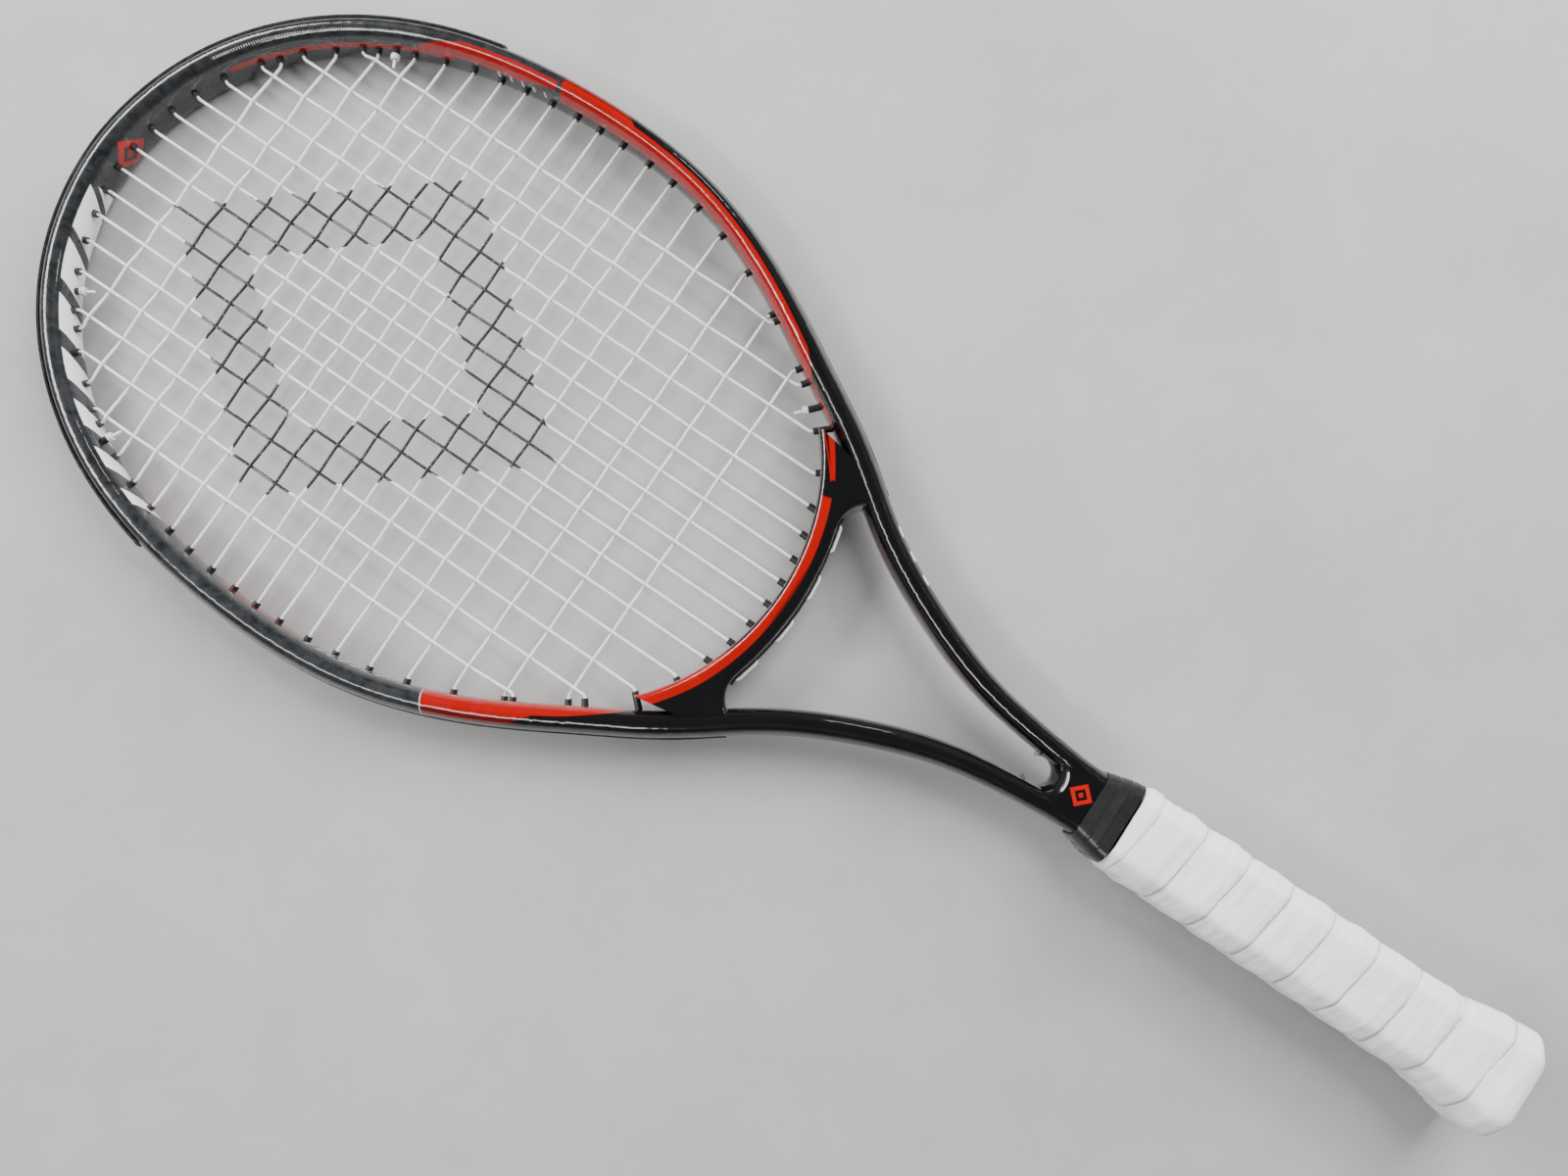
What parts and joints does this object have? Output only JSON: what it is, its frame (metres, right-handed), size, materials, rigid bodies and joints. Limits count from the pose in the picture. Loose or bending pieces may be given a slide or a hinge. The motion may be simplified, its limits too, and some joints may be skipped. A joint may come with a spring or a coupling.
{
  "type": "tennis racket",
  "caption": "Adult tennis racket: hollow moulded hairpin frame with open throat, woven strings in grommet strips, wrapped octagonal handle, sliding rubber collar and a snap-in butt door",
  "frame": {"origin": "centre of the flat end face of the butt cap", "axes": "+Y along the handle from butt to tip, +X across the head, +Z out of the front string face"},
  "size_m": [0.2664, 0.685, 0.04],
  "materials": {
    "frame_lacquer": "glossy black lacquer over moulded graphite",
    "bridge_lacquer": "glossy red and black lacquer over moulded graphite",
    "bumper_nylon": "semi-matt black nylon",
    "grommet_nylon": "satin black nylon",
    "string_silver": "smooth silvery co-polyester",
    "pallet_foam": "moulded grey polyurethane",
    "plug_foam": "open foam",
    "weight_silicone": "soft silicone",
    "cap_plastic": "satin black plastic",
    "door_plastic": "polished black plastic",
    "staple_steel": "zinc plated steel",
    "base_grip_skin": "black cushioned synthetic leather",
    "tape_vinyl": "black vinyl tape",
    "overgrip_film": "white tacky polyurethane felt",
    "collar_rubber": "satin dark grey rubber"
  },
  "bodies": {
    "racket": {"frame_hairpin": "frame_lacquer", "throat_bridge": "bridge_lacquer", "bumper_strip": "bumper_nylon", "side_strip_right": "grommet_nylon", "side_strip_left": "grommet_nylon", "bridge_strip": "grommet_nylon", "main_string": "string_silver", "cross_string": "string_silver", "tie_knots": "string_silver", "pallet_front": "pallet_foam", "pallet_back": "pallet_foam", "tube_plugs": "plug_foam", "tail_weight": "weight_silicone", "butt_cap": "cap_plastic", "cap_staples": "staple_steel", "base_grip": "base_grip_skin", "grip_tack": "staple_steel", "grip_tape": "tape_vinyl", "overgrip": "overgrip_film"},
    "door": {"butt_door": "door_plastic"},
    "collar": {"grip_collar": "collar_rubber"}
  },
  "joints": [
    {"name": "door_slide", "type": "slide", "parent": "racket", "child": "door", "axis": [0, -1, 0], "range_m": [0, 0.012]},
    {"name": "collar_slide", "type": "slide", "parent": "racket", "child": "collar", "axis": [0, 1, 0], "range_m": [0, 0.006]}
  ]
}
